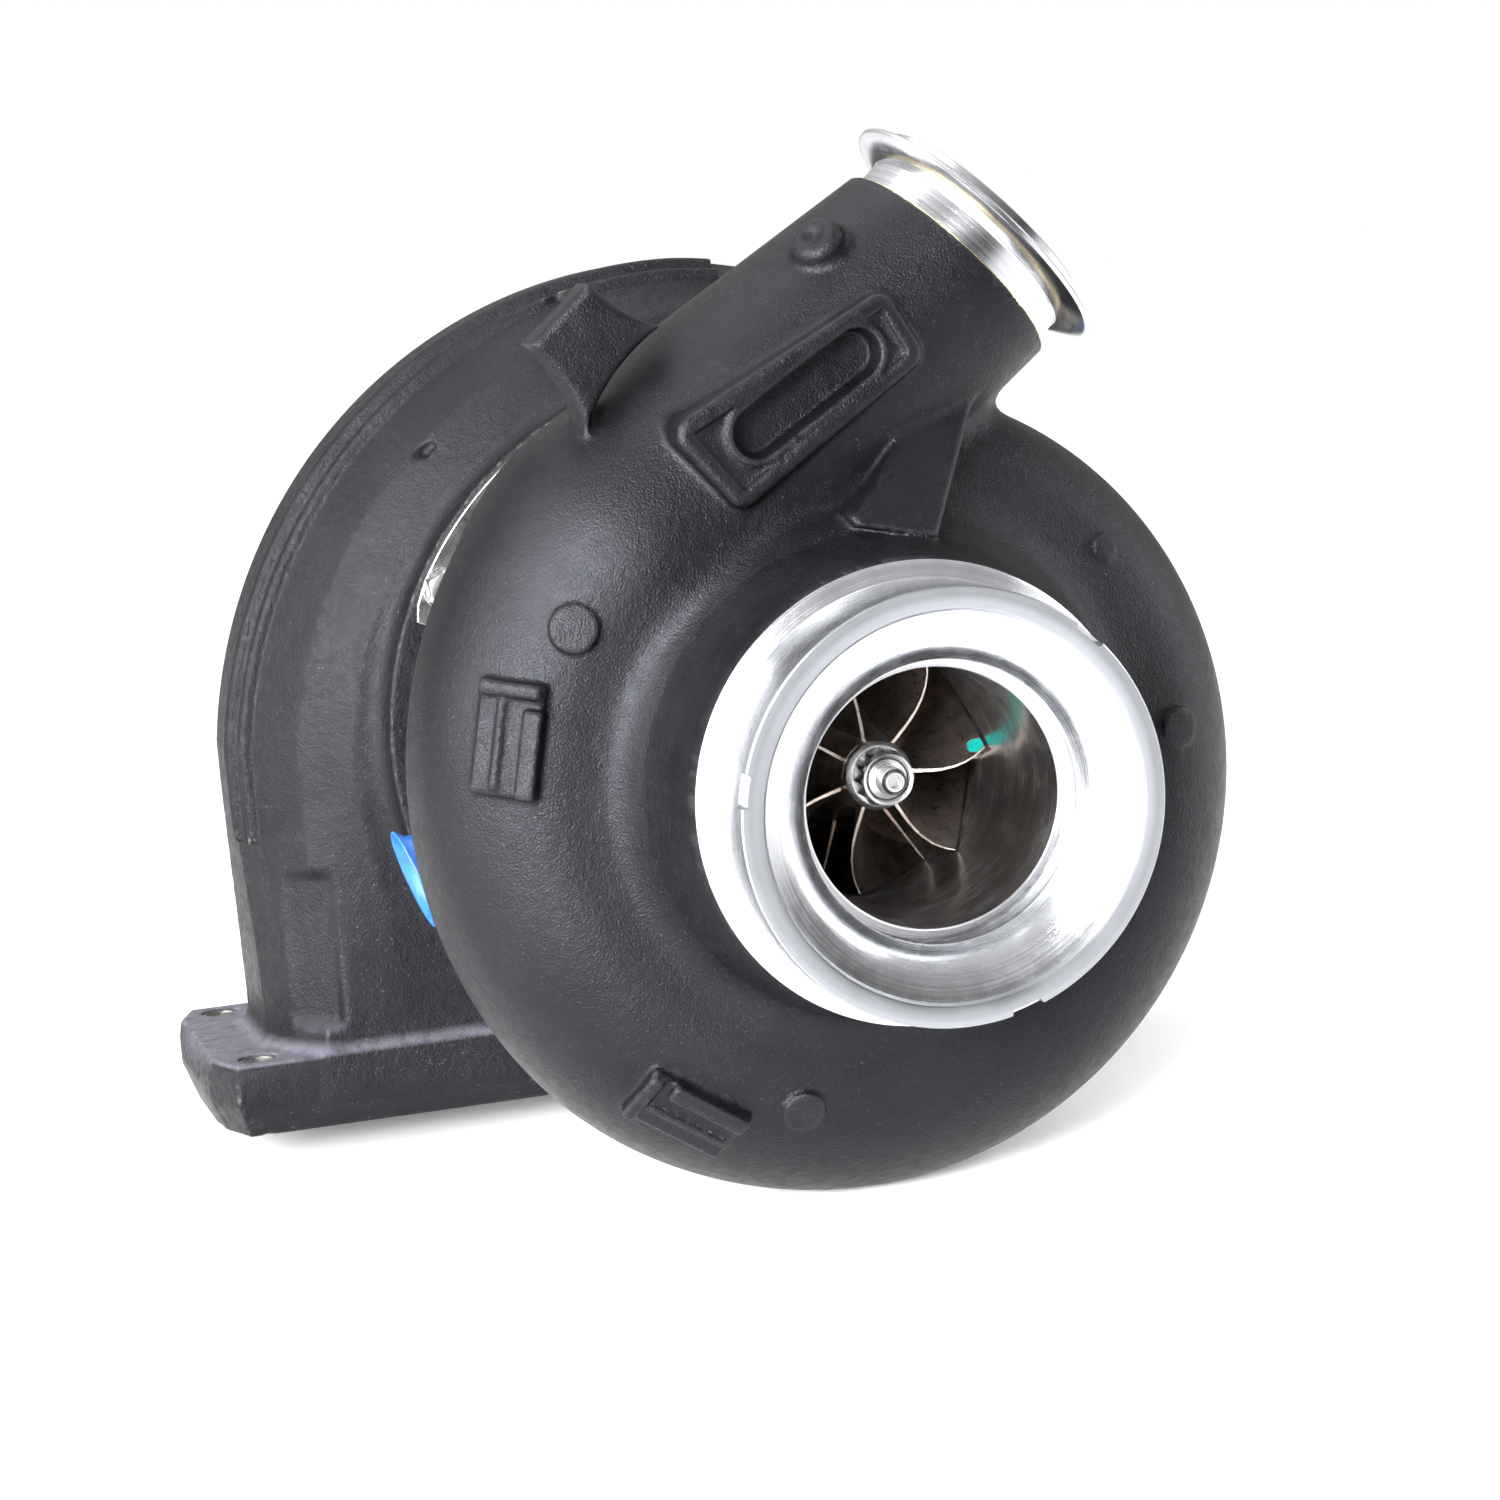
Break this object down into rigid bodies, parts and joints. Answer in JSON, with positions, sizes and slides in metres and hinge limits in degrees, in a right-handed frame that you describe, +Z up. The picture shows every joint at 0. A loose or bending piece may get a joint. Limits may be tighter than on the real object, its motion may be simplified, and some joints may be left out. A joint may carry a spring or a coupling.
{
  "type": "exhaust turbocharger",
  "caption": "Heavy-duty exhaust turbocharger with scroll compressor, V-band outlet, twin-entry turbine scroll on a foot flange, and a spinning rotor.",
  "frame": {"origin": "centre of the turbine inlet flange's face, on the wall between its two ports", "axes": "+Y along the shaft from the compressor inlet to the turbine outlet, +Z up and away from the turbine inlet flange, +X to the right seen from the compressor inlet"},
  "size_m": [0.321, 0.36, 0.3267],
  "materials": {
    "painted_aluminium": "satin black heat-resistant paint over cast aluminium",
    "turbine_iron": "matt black coating over coarse cast iron",
    "bare_cast_iron": "unpainted grit-blasted casting",
    "machined_aluminium": "bright turned face with fine tool marks",
    "milled_aluminium": "milled blades with fine cutter paths",
    "bright_steel": "bright plated or ground steel",
    "turbine_alloy": "cast nickel alloy, dull grey",
    "bearing_bronze": "turned bronze",
    "blue_plastic": "translucent soft plastic",
    "seal_rubber": "matt black rubber"
  },
  "bodies": {
    "housings": {"compressor_housing": "painted_aluminium", "turbine_housing": "turbine_iron", "bearing_housing": "bare_cast_iron", "inlet_insert": "machined_aluminium", "compressor_backplate": "machined_aluminium", "backplate_o_ring": "seal_rubber", "thrust_bearing": "bearing_bronze", "compressor_seal_ring": "bright_steel", "turbine_seal_ring": "bright_steel", "v_band_clamp": "bright_steel", "clamp_t_bolt": "bright_steel", "clamp_nut": "bright_steel", "oil_baffle": "bright_steel", "front_snap_ring": "bright_steel", "rear_snap_ring": "bright_steel", "heat_shield": "bright_steel", "clamp_plate_1": "bright_steel", "clamp_plate_2": "bright_steel", "clamp_plate_3": "bright_steel", "clamp_plate_4": "bright_steel", "flange_bolt_1": "bright_steel", "flange_bolt_2": "bright_steel", "flange_bolt_3": "bright_steel", "flange_bolt_4": "bright_steel", "flange_bolt_5": "bright_steel", "flange_bolt_6": "bright_steel", "flange_bolt_7": "bright_steel", "flange_bolt_8": "bright_steel"},
    "rotor": {"turbine_wheel_and_shaft": "turbine_alloy", "compressor_wheel": "milled_aluminium", "shaft_nut": "bright_steel", "oil_slinger": "bright_steel", "thrust_collar": "bright_steel"},
    "front_bearing": {"front_journal_bearing": "bearing_bronze"},
    "rear_bearing": {"rear_journal_bearing": "bearing_bronze"},
    "drain_cap": {"oil_drain_cap": "blue_plastic"},
    "feed_cap": {"oil_feed_cap": "blue_plastic"}
  },
  "joints": [
    {"name": "rotor_spin", "type": "hinge", "parent": "housings", "child": "rotor", "pos_m": [0.105, -0.234, 0.125], "axis": [0, 1, 0], "continuous": true},
    {"name": "front_bearing_spin", "type": "hinge", "parent": "housings", "child": "front_bearing", "pos_m": [0.105, -0.1235, 0.125], "axis": [0, 1, 0], "continuous": true},
    {"name": "rear_bearing_spin", "type": "hinge", "parent": "housings", "child": "rear_bearing", "pos_m": [0.105, -0.0505, 0.125], "axis": [0, 1, 0], "continuous": true},
    {"name": "drain_cap_pull", "type": "slide", "parent": "housings", "child": "drain_cap", "axis": [-0.9511, 0, -0.309], "range_m": [0, 0.04]},
    {"name": "feed_cap_pull", "type": "slide", "parent": "housings", "child": "feed_cap", "axis": [0.9511, 0, 0.309], "range_m": [0, 0.03]}
  ]
}
